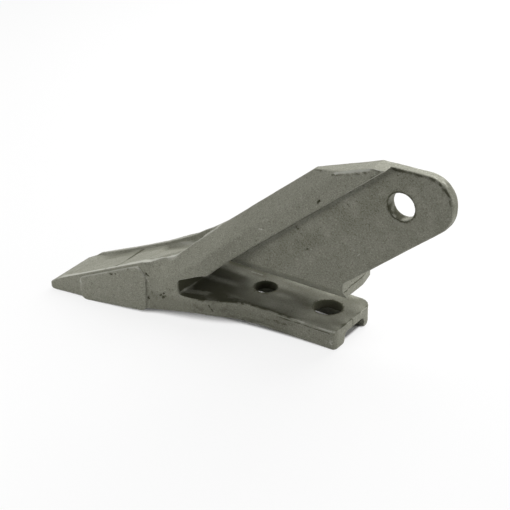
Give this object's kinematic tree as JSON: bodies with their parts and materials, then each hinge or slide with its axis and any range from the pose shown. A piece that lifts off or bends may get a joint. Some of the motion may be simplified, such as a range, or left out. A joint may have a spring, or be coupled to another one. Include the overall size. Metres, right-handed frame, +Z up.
{
  "type": "side bucket tooth",
  "caption": "Forged side tooth for an excavator bucket: wedge blade, slot that straddles the lip, drilled strap under it and a sloping arm with a bolt hole that seats the side plate.",
  "frame": {"origin": "centre of the front strap hole, on the strap's top face", "axes": "+X back from the cutting edge to the strap's end, +Y into the bucket from its side plate, +Z up, square to the strap"},
  "size_m": [0.406, 0.0915, 0.2082],
  "materials": {
    "forged_steel": "matte"
  },
  "bodies": {
    "root": {"side_tooth": "forged_steel"}
  },
  "joints": []
}
